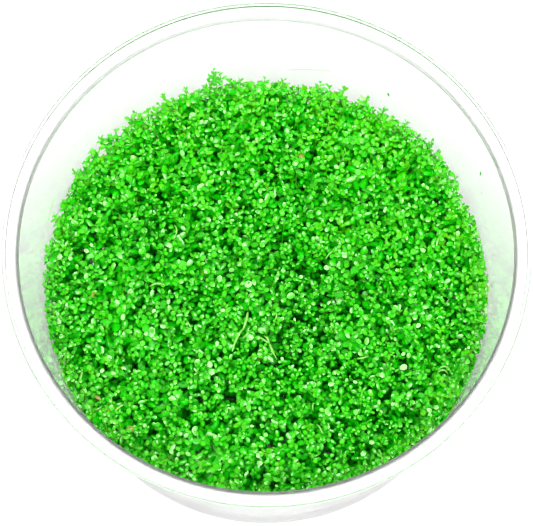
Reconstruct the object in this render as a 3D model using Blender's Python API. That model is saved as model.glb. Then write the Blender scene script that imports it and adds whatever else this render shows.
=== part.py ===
"""A clear plastic culture cup that holds a carpet of dwarf baby tears on growth gel.

The cup stands on its foot ring with its axis on Z. Units are metres.
"""

import math
import random

import bmesh
import bpy
from mathutils import Matrix, Vector, noise

# Cup
CUP_HEIGHT = 0.0575
RIM_RADIUS = 0.0525
MOUTH_RADIUS = 0.0493
FOOT_RADIUS = 0.0447
WALL = 0.0006
FLOOR_THICKNESS = 0.0012
FOOT_RECESS = 0.0012
FOOT_RING_WIDTH = 0.0026
FOOT_FILLET = 0.0012
FLOOR_FILLET = 0.0025
LEDGE_DROP = 0.0010
LEDGE_WIDTH = 0.0009
RIM_TOP_WIDTH = 0.0006
RIM_DEPTH = 0.0017
RIM_FILLET = 0.0005
MOUTH_FILLET = 0.0003
NECK_FILLET = 0.0005
CUP_SIDES = 56

# Growth gel
GEL_TOP = 0.0140
MENISCUS_HEIGHT = 0.0008
MENISCUS_WIDTH = 0.0016

# Plants
MAT_TOP = 0.0318
MAT_SKIRT_DROP = 0.0016
MAT_RINGS = 20
MAT_CLEARANCE = 0.0005
SWELL_HEIGHT = 0.0010
SWELL_LENGTH = 0.0110
TUFT_HEIGHT = 0.0011
TUFT_SIDESTEP = 0.0006
WALL_SPRIGS = 22
OPEN_SPRIGS = 16
WALL_SPRIG_HEIGHT = (0.0016, 0.0036)
OPEN_SPRIG_HEIGHT = (0.0010, 0.0022)
TALLEST_SPRIG_HEIGHT = 0.0070
TALLEST_SPRIG_ANGLE = math.radians(105)
WALL_SPRIG_SHARE = (0.84, 0.90)
OPEN_SPRIG_SHARE = 0.78
TALLEST_SPRIG_SHARE = 0.93
GOLDEN_ANGLE = math.pi * (3.0 - math.sqrt(5.0))
SPRIG_LEAN = (math.radians(3), math.radians(30))
LEAF_LIFT = (math.radians(5), math.radians(30))
SPRIG_SINK = 0.0018
STEM_RADIUS = 0.0005
STEM_SIDES = 4
LEAF_LENGTH = 0.0026
LEAF_WIDTH = 0.0019
LEAF_THICKNESS = 0.0009
LEAF_MIDDLE = 0.45
LEAF_CROWN = 0.4
LEAF_SIDES = 6
SEED = 11

# Space between neighbours that touch
GAP = 0.0003
MERGE_DISTANCE = 0.00001


def clear_scene():
    """Empties the scene of whatever it opened with."""
    for thing in list(bpy.data.objects):
        bpy.data.objects.remove(thing, do_unlink=True)


def principled(name, color, roughness, transmission=0.0, ior=1.45):
    """A Principled material with one colour."""
    material = bpy.data.materials.new(name)
    material.use_nodes = True
    shader = material.node_tree.nodes["Principled BSDF"]
    shader.inputs["Base Color"].default_value = (*color, 1.0)
    shader.inputs["Roughness"].default_value = roughness
    shader.inputs["Metallic"].default_value = 0.0
    shader.inputs["Transmission Weight"].default_value = transmission
    shader.inputs["IOR"].default_value = ior
    return material


def cup_material():
    """Clear, glossy, colourless plastic."""
    return principled("clear_plastic", (0.97, 0.98, 0.98), 0.04, transmission=1.0, ior=1.49)


def gel_material():
    """Clear gel with a trace of white."""
    return principled("growth_gel", (0.93, 0.95, 0.90), 0.10, transmission=0.9, ior=1.34)


def leaf_material():
    """Bright green leaves with a light gloss."""
    return principled("green_leaves", (0.03, 0.42, 0.02), 0.45)


def arc(centre, radius, start, end, steps):
    """Points on a circle in the profile's plane, from one angle in degrees to another."""
    points = []
    for step in range(steps + 1):
        angle = math.radians(start + (end - start) * step / steps)
        points.append((centre[0] + radius * math.cos(angle), centre[1] + radius * math.sin(angle)))
    return points


def inner_radius(height):
    """The radius of the cup's inner wall at a height."""
    share = height / (CUP_HEIGHT - LEDGE_DROP)
    return FOOT_RADIUS - WALL + (MOUTH_RADIUS - FOOT_RADIUS + WALL) * share


def outer_radius(height):
    """The radius of the cup's outer wall at a height."""
    return inner_radius(height) + WALL


def draft_angle():
    """How far the wall leans from the vertical, in degrees."""
    rise = CUP_HEIGHT - LEDGE_DROP
    return math.degrees(math.atan((inner_radius(rise) - inner_radius(0.0)) / rise))


def inside_of_cup(floor, inset, steps):
    """The curve from the axis along a floor and round the corner to the wall, inset from both."""
    lean = draft_angle()
    centre_height = floor + FLOOR_FILLET
    centre_radius = inner_radius(centre_height) - (inset + FLOOR_FILLET) / math.cos(math.radians(lean))
    return [(0.0, floor)] + arc((centre_radius, centre_height), FLOOR_FILLET, -90.0, -lean, steps)


def cup_profile():
    """The cup's section, from the middle of the floor up the inside, over the rim and down the outside."""
    floor = FOOT_RECESS + FLOOR_THICKNESS
    ledge = CUP_HEIGHT - LEDGE_DROP
    points = inside_of_cup(floor, 0.0, 3)
    mouth = (MOUTH_RADIUS + MOUTH_FILLET, ledge - MOUTH_FILLET)
    points += arc(mouth, MOUTH_FILLET, 180.0 - draft_angle(), 90.0, 3)
    rise_start = MOUTH_RADIUS + MOUTH_FILLET + LEDGE_WIDTH
    rim_inner = RIM_RADIUS - RIM_FILLET - RIM_TOP_WIDTH
    points.append((rise_start, ledge))
    points.append((rim_inner, CUP_HEIGHT))
    edge_radius = RIM_RADIUS - RIM_FILLET
    under = CUP_HEIGHT - RIM_DEPTH
    points += arc((edge_radius, CUP_HEIGHT - RIM_FILLET), RIM_FILLET, 90.0, 0.0, 2)
    points.append((RIM_RADIUS, under))
    neck = outer_radius(under) + NECK_FILLET
    points += arc((neck, under - NECK_FILLET), NECK_FILLET, 90.0, 180.0 - draft_angle(), 3)
    foot_centre = (outer_radius(FOOT_FILLET) - FOOT_FILLET, FOOT_FILLET)
    points += arc(foot_centre, FOOT_FILLET, -draft_angle(), -90.0, 3)
    ring_inner = foot_centre[0] - FOOT_RING_WIDTH
    points.append((ring_inner, 0.0))
    points.append((ring_inner - FOOT_RECESS, FOOT_RECESS))
    points.append((0.0, FOOT_RECESS))
    return points


def gel_profile():
    """The gel's section, from the middle of its top out to the wall and back underneath."""
    edge_height = GEL_TOP + MENISCUS_HEIGHT
    edge_radius = inner_radius(edge_height) - GAP
    points = [(0.0, GEL_TOP), (edge_radius - MENISCUS_WIDTH, GEL_TOP)]
    points.append((edge_radius - MENISCUS_WIDTH / 3, GEL_TOP + MENISCUS_HEIGHT / 4))
    points.append((edge_radius, edge_height))
    underside = FOOT_RECESS + FLOOR_THICKNESS + GAP
    lower = inside_of_cup(underside, GAP, 2)
    return points + lower[::-1]


def object_from_bmesh(name, mesh_data, material):
    """Puts a bmesh in the scene under a name, with its material."""
    mesh = bpy.data.meshes.new(name)
    mesh_data.to_mesh(mesh)
    mesh_data.free()
    mesh.materials.append(material)
    made = bpy.data.objects.new(name, mesh)
    bpy.context.scene.collection.objects.link(made)
    return made


def smooth(made, sharp_degrees):
    """Shades an object smooth, with sharp edges where it turns by more than an angle."""
    made.data.shade_smooth()
    made.data.set_sharp_from_angle(angle=math.radians(sharp_degrees))


def turned(name, profile, material):
    """A round object: a section in the XZ plane, turned once round Z."""
    section = bmesh.new()
    corners = [section.verts.new((radius, 0.0, height)) for radius, height in profile]
    for first, second in zip(corners, corners[1:]):
        section.edges.new((first, second))
    bmesh.ops.spin(
        section,
        geom=section.verts[:] + section.edges[:],
        cent=(0.0, 0.0, 0.0),
        axis=(0.0, 0.0, 1.0),
        angle=math.tau,
        steps=CUP_SIDES,
        use_merge=True,
    )
    bmesh.ops.remove_doubles(section, verts=section.verts, dist=MERGE_DISTANCE)
    bmesh.ops.recalc_face_normals(section, faces=section.faces)
    made = object_from_bmesh(name, section, material)
    smooth(made, 35.0)
    return made


def mat_radius(height):
    """How far the plants spread at a height, just clear of the wall."""
    return inner_radius(height) - MAT_CLEARANCE


def mat_height(x, y):
    """The carpet's height at a place: a gentle swell that sinks a little towards the wall."""
    swell = noise.noise(Vector((x, y, 0.0)) / SWELL_LENGTH)
    edge = (math.hypot(x, y) / mat_radius(MAT_TOP)) ** 6
    return MAT_TOP + SWELL_HEIGHT * swell - MAT_SKIRT_DROP * edge


def ring_points(ring, draw):
    """One ring of the carpet's tufts, each lifted or sunk and pushed aside by chance."""
    count = max(1, 6 * ring)
    reach = mat_radius(MAT_TOP) - TUFT_SIDESTEP
    spread = reach * ring / MAT_RINGS
    points = []
    for index in range(count):
        angle = math.tau * (index + 0.5 * (ring % 2)) / count
        step = TUFT_SIDESTEP if 0 < ring < MAT_RINGS else 0.0
        x = spread * math.cos(angle) + draw.uniform(-step, step)
        y = spread * math.sin(angle) + draw.uniform(-step, step)
        points.append((x, y, mat_height(x, y) + draw.uniform(-TUFT_HEIGHT, TUFT_HEIGHT)))
    return points


def join_rings(mesh_data, inner, outer):
    """Triangles between two rings of vertices, with each step taken on the ring that lags."""
    a = b = 0
    while a < len(inner) or b < len(outer):
        inner_next = (a + 1) / len(inner) if a < len(inner) else math.inf
        outer_next = (b + 1) / len(outer) if b < len(outer) else math.inf
        here = inner[a % len(inner)]
        there = outer[b % len(outer)]
        if inner_next < outer_next:
            mesh_data.faces.new((here, there, inner[(a + 1) % len(inner)]))
            a += 1
        else:
            mesh_data.faces.new((here, there, outer[(b + 1) % len(outer)]))
            b += 1


def lower_ring(body, above, height, spreads):
    """A ring of vertices at a height under another ring, joined to it by faces."""
    ring = []
    for corner, spread in zip(above, spreads):
        outward = Vector((corner.co.x, corner.co.y)).normalized() * spread
        ring.append(body.verts.new((outward.x, outward.y, height)))
    for index in range(len(ring)):
        after = (index + 1) % len(ring)
        body.faces.new((above[index], ring[index], ring[after], above[after]))
    return ring


def plant_body(draw):
    """The carpet as one closed lump: tufted above, uneven against the wall, flat on the gel."""
    body = bmesh.new()
    centre = body.verts.new(ring_points(0, draw)[0])
    edge = [body.verts.new(point) for point in ring_points(1, draw)]
    for index, corner in enumerate(edge):
        body.faces.new((centre, corner, edge[(index + 1) % len(edge)]))
    for ring in range(2, MAT_RINGS + 1):
        outer = [body.verts.new(point) for point in ring_points(ring, draw)]
        join_rings(body, edge, outer)
        edge = outer
    underside = GEL_TOP + GAP
    meniscus_top = underside + MENISCUS_HEIGHT
    for height in ((MAT_TOP + meniscus_top) / 2, meniscus_top + GAP):
        spreads = [mat_radius(height) - draw.uniform(0.0, TUFT_SIDESTEP) for corner in edge]
        edge = lower_ring(body, edge, height, spreads)
    foot_radius = mat_radius(meniscus_top) - MENISCUS_WIDTH
    foot = lower_ring(body, edge, underside, [foot_radius] * len(edge))
    body.faces.new(foot[::-1])
    bmesh.ops.triangulate(body, faces=body.faces)
    bmesh.ops.recalc_face_normals(body, faces=body.faces)
    return body


def add_lobe(sprigs, place):
    """One thick leaf with its base at the place's origin and its tip along X."""
    outline = []
    for side in range(LEAF_SIDES):
        angle = math.tau * side / LEAF_SIDES
        along = LEAF_LENGTH * (LEAF_MIDDLE + 0.5 * math.cos(angle))
        across = LEAF_WIDTH * 0.5 * math.sin(angle)
        outline.append(sprigs.verts.new(place @ Vector((along, across, 0.0))))
    middle = LEAF_LENGTH * LEAF_MIDDLE
    upper = sprigs.verts.new(place @ Vector((middle, 0.0, LEAF_THICKNESS * LEAF_CROWN)))
    lower = sprigs.verts.new(place @ Vector((middle, 0.0, LEAF_THICKNESS * (LEAF_CROWN - 1.0))))
    for side in range(LEAF_SIDES):
        after = (side + 1) % LEAF_SIDES
        sprigs.faces.new((outline[side], outline[after], upper))
        sprigs.faces.new((outline[after], outline[side], lower))


def add_sprig(sprigs, foot, height, lean, draw):
    """A leaning stem with a pair of leaves at its tip. The stem starts inside the carpet."""
    heading = Matrix.Rotation(draw.uniform(0.0, math.tau), 4, "Z")
    base = Matrix.Translation(foot) @ heading @ Matrix.Rotation(lean, 4, "Y")
    length = height + SPRIG_SINK
    bmesh.ops.create_cone(
        sprigs,
        cap_ends=True,
        segments=STEM_SIDES,
        radius1=STEM_RADIUS,
        radius2=STEM_RADIUS,
        depth=length,
        matrix=base @ Matrix.Translation((0.0, 0.0, length / 2 - SPRIG_SINK)),
    )
    tip = base @ Matrix.Translation((0.0, 0.0, height - LEAF_THICKNESS * LEAF_CROWN))
    turn = draw.uniform(0.0, math.tau)
    for side in range(2):
        lift = Matrix.Rotation(-draw.uniform(*LEAF_LIFT), 4, "Y")
        add_lobe(sprigs, tip @ Matrix.Rotation(turn + math.pi * side, 4, "Z") @ lift)


def carpet_place(share, angle):
    """A place on the carpet, at a share of its radius and an angle round the axis."""
    spread = share * mat_radius(MAT_TOP)
    x = spread * math.cos(angle)
    y = spread * math.sin(angle)
    return Vector((x, y, mat_height(x, y)))


def sprig_bunch(draw):
    """All the sprigs that stand out, as one guide object that the carpet takes in."""
    sprigs = bmesh.new()
    for index in range(WALL_SPRIGS):
        angle = math.tau * (index + draw.uniform(-0.3, 0.3)) / WALL_SPRIGS
        foot = carpet_place(draw.uniform(*WALL_SPRIG_SHARE), angle)
        add_sprig(sprigs, foot, draw.uniform(*WALL_SPRIG_HEIGHT), draw.uniform(*SPRIG_LEAN), draw)
    for index in range(OPEN_SPRIGS):
        foot = carpet_place(OPEN_SPRIG_SHARE * math.sqrt((index + 0.5) / OPEN_SPRIGS), index * GOLDEN_ANGLE)
        add_sprig(sprigs, foot, draw.uniform(*OPEN_SPRIG_HEIGHT), draw.uniform(*SPRIG_LEAN), draw)
    foot = carpet_place(TALLEST_SPRIG_SHARE, TALLEST_SPRIG_ANGLE)
    add_sprig(sprigs, foot, TALLEST_SPRIG_HEIGHT, 0.0, draw)
    bmesh.ops.recalc_face_normals(sprigs, faces=sprigs.faces)
    guide = object_from_bmesh("sprig_guide", sprigs, leaf_material())
    guide.hide_render = True
    guide.display_type = "WIRE"
    return guide


def make_cup():
    """The clear cup."""
    return turned("cup", cup_profile(), cup_material())


def make_gel():
    """The gel that fills the bottom of the cup."""
    return turned("gel", gel_profile(), gel_material())


def make_plant_mat():
    """The carpet of plants, with its tall sprigs grown onto it."""
    draw = random.Random(SEED)
    mat = object_from_bmesh("plant_mat", plant_body(draw), leaf_material())
    union = mat.modifiers.new("tall_sprigs", "BOOLEAN")
    union.operation = "UNION"
    union.solver = "EXACT"
    union.use_self = True
    union.object = sprig_bunch(draw)
    return mat


clear_scene()
make_cup()
make_gel()
make_plant_mat()
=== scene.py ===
"""Looks for the cup of dwarf baby tears: a clear cup, growth gel with roots, and a carpet of leaves."""

import math

import bpy
import numpy as np
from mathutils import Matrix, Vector, noise


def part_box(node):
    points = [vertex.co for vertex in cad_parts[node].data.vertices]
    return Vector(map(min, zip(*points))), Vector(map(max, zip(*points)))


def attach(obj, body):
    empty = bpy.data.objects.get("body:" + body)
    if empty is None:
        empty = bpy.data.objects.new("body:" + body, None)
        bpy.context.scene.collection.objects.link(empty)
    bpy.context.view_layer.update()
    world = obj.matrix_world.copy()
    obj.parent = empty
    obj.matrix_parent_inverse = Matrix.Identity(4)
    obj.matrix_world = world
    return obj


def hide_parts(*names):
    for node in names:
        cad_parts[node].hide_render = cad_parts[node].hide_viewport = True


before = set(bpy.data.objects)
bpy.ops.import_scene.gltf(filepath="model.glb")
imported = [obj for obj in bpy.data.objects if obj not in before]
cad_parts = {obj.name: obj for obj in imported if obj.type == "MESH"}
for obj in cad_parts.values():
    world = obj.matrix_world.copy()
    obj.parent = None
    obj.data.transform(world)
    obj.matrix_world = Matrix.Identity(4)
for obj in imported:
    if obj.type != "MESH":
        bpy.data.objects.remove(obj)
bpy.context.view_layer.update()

MM = 0.001

# Camera, from the ellipses of the cup's rim, mouth and foot in the photograph
CAMERA_DISTANCE = 449 * MM
CAMERA_ELEVATION = math.radians(72.46)
CAMERA_AIM = Vector((0.0, 0.0, 45.9 * MM))
CAMERA_LENS = 149.3
CAMERA_SENSOR = 36.0

# Light: a soft sky, and one large softbox overhead, a little towards the camera
WORLD_STRENGTH = 0.64
SOFTBOX_DISTANCE = 1.3
SOFTBOX_SIZE = 1.2
SOFTBOX_ELEVATION = 79.0
SOFTBOX_AZIMUTH = 4.0
SOFTBOX_RADIANCE = 12.2
LIGHT_BOUNCES = 64
CLEAR_BOUNCES = 48
FLOOR_HALF_SIDE = 3.0
FLOOR_GAP = 0.05 * MM

# Cup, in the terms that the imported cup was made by, but with a wider ledge and a tighter edge on the rim
CUP_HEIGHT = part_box("cup")[1].z
RIM_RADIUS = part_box("cup")[1].x
MOUTH_RADIUS = 49.3 * MM
FOOT_RADIUS = 44.7 * MM
WALL = 0.6 * MM
FLOOR_THICKNESS = 1.2 * MM
FOOT_RECESS = 1.2 * MM
FOOT_RING_WIDTH = 2.6 * MM
FOOT_FILLET = 1.2 * MM
FLOOR_FILLET = 2.5 * MM
LEDGE_DROP = 1.0 * MM
LEDGE_WIDTH = 1.7 * MM
RIM_TOP_WIDTH = 0.5 * MM
RIM_DEPTH = 1.7 * MM
RIM_FILLET = 0.25 * MM
RIM_UNDER_FILLET = 0.08 * MM
MOUTH_FILLET = 0.3 * MM
NECK_FILLET = 0.5 * MM
GATE_RADIUS = 1.3 * MM
GATE_HEIGHT = 0.4 * MM
BASE_STEP_RADIUS = 15.0 * MM
BASE_STEP = 0.2 * MM
CUP_SIDES = 256

# Plastic: glossy, but matt on the mouth's edge, within a radius and down to a depth
PLASTIC_ROUGHNESS = 0.06
RIPPLE_ROUGHNESS = 0.04
MATT_ROUGHNESS = 0.65
MATT_RADIUS = 50.3 * MM
MATT_DEPTH = 2.0 * MM
PLASTIC_IOR = 1.49
PLASTIC_TINT = (0.51, 0.51, 0.51)
PLASTIC_DENSITY = 40.0

# Growth gel
GEL_EDGE_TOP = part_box("gel")[1].z
MENISCUS_HEIGHT = 0.8 * MM
MENISCUS_WIDTH = 1.6 * MM
GEL_TOP = GEL_EDGE_TOP - MENISCUS_HEIGHT
GEL_PRESS = 0.03 * MM
GEL_IOR = 1.34
GEL_SIDES = 192

# Roots in the gel. The taper is a share of the radius, and the wander is in mm from point to point
ROOT_COUNT = 800
ROOT_POINTS = 8
ROOT_RADIUS = 0.11 * MM
ROOT_TAPER = 0.6
ROOT_WANDER = 0.5

# Carpet
CARPET_TOP = 31.9 * MM
CARPET_SINK = 1.6 * MM
SWELL_HEIGHT = 1.1 * MM
SWELL_LENGTH = 11.0 * MM
HOLLOW_DEPTH = 7.0 * MM
HOLLOW_LENGTH = 3.2 * MM
HOLLOW_THRESHOLD = 0.22
TIP_SCATTER = 0.8 * MM
EDGE_LIFT_WIDTH = 7.0 * MM
SHOOT_SPACING = 2.1 * MM
WALL_SHOOT_SPACING = 1.6 * MM
WALL_ROWS = (0.9 * MM, 2.4 * MM)
WALL_ZONE = 3.2 * MM
LEAF_CLEARANCE = 0.15 * MM
SOFT_EDGE = 0.7 * MM
STEM_RADIUS = 0.20 * MM
STEM_FOOT_SHARE = 1.15
STEM_TAPER = 0.45
STEM_POINTS = 5
SPRIG_STEM_SHARE = 0.8
SPRIG_STEM_POINTS = 9
LEAF_THICKNESS = 0.06 * MM
SEED = 41

# The tone of the leaves over the carpet, in steps: at the centre, how much lighter it gets towards the wall,
# the right and the back, and how far patches and single shoots differ. The lightening towards the wall is
# painted light, where the white wall lights the leaves from behind, and that towards the right and the back
# is painted light, as if the carpet were lit from there
CENTRE_TONE = 2.8
PAINTED_WALL_LIGHT = 1.9
PAINTED_RIGHT_LIGHT = 0.4
PAINTED_BACK_LIGHT = 1.2
PATCH_TONE = 2.4
SHOOT_TONE = 0.8

# How much leaves differ: turn round the stem in radians, angle from it in degrees, aim and roll as parts of
# a unit vector, length as a share, and tone in steps
TURN_SPREAD = 0.22
PITCH_SPREAD = 22
AIM_SPREAD = 0.14
ROLL_SPREAD = 0.20
LENGTH_SPREAD = 0.16
TONE_SPREAD = 0.7

# Leaf meshes: shares of the length that have points, and folds across the upper side
FINE_LEAF = ((0.15, 0.4, 0.68, 0.9), (-0.5, 0.0, 0.5))
MIDDLING_LEAF = ((0.18, 0.5, 0.84), (-0.5, 0.0, 0.5))
COARSE_LEAF = ((0.2, 0.5, 0.82), (0.0,))
PLAIN_LEAF = ((0.3, 0.75), (0.0,))

# Leaf colours: how much of another green goes into patches, rib, underside and stalk end, and how far the
# rib and the stalk end reach, as shares of the leaf
PATCH_SHARE = 0.35
RIB_SHARE = 0.30
RIB_HALF_WIDTH = 0.035
UNDERSIDE_SHARE = 0.30
STALK_SHARE = 0.25
STALK_LENGTH = 0.22
LEAF_IOR = 1.48

# Leaf nodes down a shoot, from the tip: distance from the tip and leaf length in mm, width as a share of
# the length, angle from the stem, step in tone, and age from 0, old, to 3, young. The steps in tone that
# darken the lower nodes are partly the darker green of older leaves and partly painted shade deep in
# the carpet
NODES = (
    (0.0, 1.15, 0.70, 50, 1.6, 3),
    (0.8, 1.50, 0.61, 58, 0.5, 2),
    (2.0, 1.82, 0.57, 68, -0.4, 1),
    (3.6, 1.92, 0.58, 78, -0.9, 0),
    (5.8, 2.00, 0.63, 86, -1.8, 0),
    (8.4, 2.10, 0.70, 90, -2.9, 0),
)
WALL_NODES = tuple((drop, 1.6, 0.65, 80, 1.2, 0) for drop in (10.6, 12.6, 14.6, 16.4))
SPRIG_NODES = (
    (0.0, 1.00, 0.55, 30, 1.6, 3),
    (1.0, 1.35, 0.52, 42, 1.4, 3),
    (2.2, 1.55, 0.52, 52, 1.2, 2),
    (3.6, 1.65, 0.55, 60, 1.0, 2),
    (5.1, 1.75, 0.58, 70, 0.6, 1),
    (6.8, 1.80, 0.60, 80, 0.0, 1),
)
GROUND_LEAVES = 3200
GROUND_HEIGHTS = (16.5 * MM, 21.5 * MM)

# Sprigs that stand over the carpet at the back wall: angle round the cup in degrees, and height in mm
BACK_SPRIGS = (
    (103.8, 7.4), (102.3, 6.0), (105.2, 5.0), (99.5, 2.6), (97.0, 2.0), (90.5, 1.8), (85.5, 2.2),
    (75.5, 3.4), (73.0, 2.4), (69.0, 4.0), (62.5, 2.4), (57.0, 1.8), (50.0, 2.4), (41.0, 1.6), (30.0, 2.0),
    (112.0, 2.2), (118.0, 3.0), (127.0, 2.0), (139.0, 1.8), (150.0, 2.8), (163.0, 3.0), (172.0, 3.2),
    (181.0, 2.2),
)
SIDE_SPRIGS = 74
OPEN_SPRIGS = 60
SPRIG_BURIED = 7.0 * MM

# How near sprigs stand to the wall: the nearest, those in the open at most, and a sprig's foot to its tip
SPRIG_REACH = 0.985
OPEN_REACH = 0.92
SPRIG_FOOT = 0.94

# How much the carpet climbs or sinks at the wall, in mm, at angles round the cup
EDGE_LIFT = (
    (0, -1.2), (10, -2.0), (20, -2.2), (30, 0.2), (40, 3.0), (50, 0.2), (60, 0.5), (70, -0.8), (80, -3.4),
    (92, -0.8), (100, -1.6), (110, 1.2), (119, 0.8), (130, 3.4), (140, 4.2), (150, 2.8), (160, 1.0),
    (170, 1.8), (180, 0.3), (350, 0.0), (360, -1.2),
)

# Pale stems that lie on the carpet: both ends as x and y in mm, a sideways bow as a share of the length,
# and the thickness in mm
STRAY_STEMS = (
    (-3.9, -6.2, -4.9, -10.2, 0.04, 0.56), (-4.8, -9.8, -7.1, -14.9, -0.05, 0.50),
    (-3.1, -10.1, -4.8, -11.9, 0.05, 0.48), (1.6, -15.3, 0.6, -13.0, 0.05, 0.50),
    (0.6, -13.0, -1.7, -11.5, 0.06, 0.40), (0.6, -13.0, -0.5, -11.4, -0.05, 0.36),
    (0.6, -13.0, 0.1, -11.4, 0.05, 0.36), (-24.4, -0.6, -21.3, -0.4, 0.10, 0.42),
    (35.4, -18.6, 38.2, -18.9, 0.30, 0.36), (35.3, -19.2, 37.6, -19.4, 0.28, 0.36),
    (37.0, -19.7, 35.7, -21.6, 0.06, 0.60), (37.6, -20.0, 38.4, -21.9, 0.06, 0.50),
    (23.0, -35.4, 23.6, -38.4, 0.08, 0.44), (-38.2, -18.2, -39.2, -21.6, 0.12, 0.46),
    (12.5, 5.6, 16.0, 7.4, 0.16, 0.36), (-15.6, 19.0, -18.6, 20.9, -0.14, 0.36),
    (35.8, 7.6, 37.2, 11.2, 0.12, 0.38), (-31.6, -28.0, -28.6, -25.8, 0.10, 0.40),
)

# The thickness along each of them, as shares, and how many more lie at random
STRAY_TAPER = (0.5, 0.9, 1.0, 1.1, 0.95, 1.0, 0.9, 0.75, 0.4)
LOOSE_STEMS = 14

# Bits that stick to the inner wall: angle round the cup, height in mm, length in mm and slant in degrees
WALL_BITS = (
    (56.7, 38.0, 1.3, 70), (23.4, 45.3, 1.7, 80), (20.0, 41.3, 0.7, 20), (75.3, 45.8, 0.6, 40),
    (-1.9, 33.6, 1.3, 30),
)
WALL_BIT_SLIMNESS = 0.6

# Thin trails on the inner wall: angle and height in mm at both ends
WALL_TRAILS = ((159.6, 37.5, 164.8, 36.0), (84.0, 34.6, 73.5, 37.5))
TRAIL_RADIUS = 0.05 * MM
TRAIL_POINTS = 12

# Withered leaves on the carpet: x and y in mm
WITHERED = ((-36.5, -3.2), (-32.2, -28.4), (-28.9, -31.4), (-34.0, -25.0), (8.0, 27.0))

# Leaf cells in the OFBake map: a column for each tone, and a row for each age, above and underneath
TONES = 8
AGES = 4
CELL_MARGIN = 0.08
TUBE_COLUMNS = 16


def inner_radius(height):
    """The radius of the cup's inner wall at a height. Takes one height or an array."""
    return FOOT_RADIUS - WALL + (MOUTH_RADIUS - FOOT_RADIUS + WALL) * height / (CUP_HEIGHT - LEDGE_DROP)


def draft_angle():
    """How far the wall leans from the vertical, in degrees."""
    rise = CUP_HEIGHT - LEDGE_DROP
    return math.degrees(math.atan((inner_radius(rise) - inner_radius(0.0)) / rise))


def arc(centre, radius, start, end, steps):
    """Points on a circle in the profile's plane, from one angle in degrees to another."""
    points = []
    for step in range(steps + 1):
        angle = math.radians(start + (end - start) * step / steps)
        points.append((centre[0] + radius * math.cos(angle), centre[1] + radius * math.sin(angle)))
    return points


def inside_of_cup(floor, inset):
    """The curve from the axis along a floor and round the corner to the wall, inset from both."""
    lean = draft_angle()
    centre_height = floor + FLOOR_FILLET
    centre_radius = inner_radius(centre_height) - (inset + FLOOR_FILLET) / math.cos(math.radians(lean))
    return [(0.0, floor)] + arc((centre_radius, centre_height), FLOOR_FILLET, -90.0, -lean, 10)


def cup_profile():
    """The cup's section, from the middle of the floor up the inside, over the rim and down the outside."""
    lean = draft_angle()
    ledge = CUP_HEIGHT - LEDGE_DROP
    under = CUP_HEIGHT - RIM_DEPTH
    points = inside_of_cup(FOOT_RECESS + FLOOR_THICKNESS, 0.0)
    points += arc((MOUTH_RADIUS + MOUTH_FILLET, ledge - MOUTH_FILLET), MOUTH_FILLET, 180.0 - lean, 90.0, 10)
    points.append((MOUTH_RADIUS + MOUTH_FILLET + LEDGE_WIDTH, ledge))
    points.append((RIM_RADIUS - RIM_FILLET - RIM_TOP_WIDTH, CUP_HEIGHT))
    points += arc((RIM_RADIUS - RIM_FILLET, CUP_HEIGHT - RIM_FILLET), RIM_FILLET, 90.0, 0.0, 8)
    under_edge = RIM_RADIUS - RIM_UNDER_FILLET
    points += arc((under_edge, under + RIM_UNDER_FILLET), RIM_UNDER_FILLET, 0.0, -90.0, 4)
    neck = inner_radius(under) + WALL + NECK_FILLET
    points += arc((neck, under - NECK_FILLET), NECK_FILLET, 90.0, 180.0 - lean, 8)
    foot = inner_radius(FOOT_FILLET) + WALL - FOOT_FILLET
    points += arc((foot, FOOT_FILLET), FOOT_FILLET, -lean, -90.0, 10)
    ring_inner = foot - FOOT_RING_WIDTH
    points += [(ring_inner, 0.0), (ring_inner - FOOT_RECESS, FOOT_RECESS), (BASE_STEP_RADIUS, FOOT_RECESS)]
    step_height = FOOT_RECESS - BASE_STEP
    points += [(BASE_STEP_RADIUS - BASE_STEP, step_height), (GATE_RADIUS, step_height)]
    points += [(GATE_RADIUS * 0.7, FOOT_RECESS - GATE_HEIGHT), (0.0, FOOT_RECESS - GATE_HEIGHT)]
    return points


def gel_profile():
    """The gel's section, from the middle of its top out to the wall and back underneath."""
    edge_radius = inner_radius(GEL_EDGE_TOP) + GEL_PRESS
    points = [(0.0, GEL_TOP)]
    for step in range(9):
        share = step / 8
        points.append((edge_radius - MENISCUS_WIDTH * (1 - share), GEL_TOP + MENISCUS_HEIGHT * share ** 2.5))
    lower = inside_of_cup(FOOT_RECESS + FLOOR_THICKNESS - GEL_PRESS, -GEL_PRESS)
    return points + lower[::-1]


def link(name, mesh):
    """Puts a mesh in the scene under a name."""
    made = bpy.data.objects.new(name, mesh)
    bpy.context.scene.collection.objects.link(made)
    return made


def turned(name, profile, sides):
    """A round object: a section in the XZ plane, which starts and ends on the axis, turned once round Z."""
    angles = [math.tau * side / sides for side in range(sides)]
    points = [(0.0, 0.0, profile[0][1])]
    for radius, height in profile[1:-1]:
        points += [(radius * math.cos(angle), radius * math.sin(angle), height) for angle in angles]
    last = len(points)
    points.append((0.0, 0.0, profile[-1][1]))
    faces = []
    for side in range(sides):
        after = (side + 1) % sides
        faces.append((0, 1 + side, 1 + after))
        for ring in range(1, last - sides, sides):
            faces.append((ring + side, ring + sides + side, ring + sides + after, ring + after))
        faces.append((last - sides + side, last, last - sides + after))
    mesh = bpy.data.meshes.new(name)
    mesh.from_pydata(points, [], faces)
    mesh.shade_smooth()
    mesh.set_sharp_from_angle(angle=math.radians(35))
    return link(name, mesh)


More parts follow.
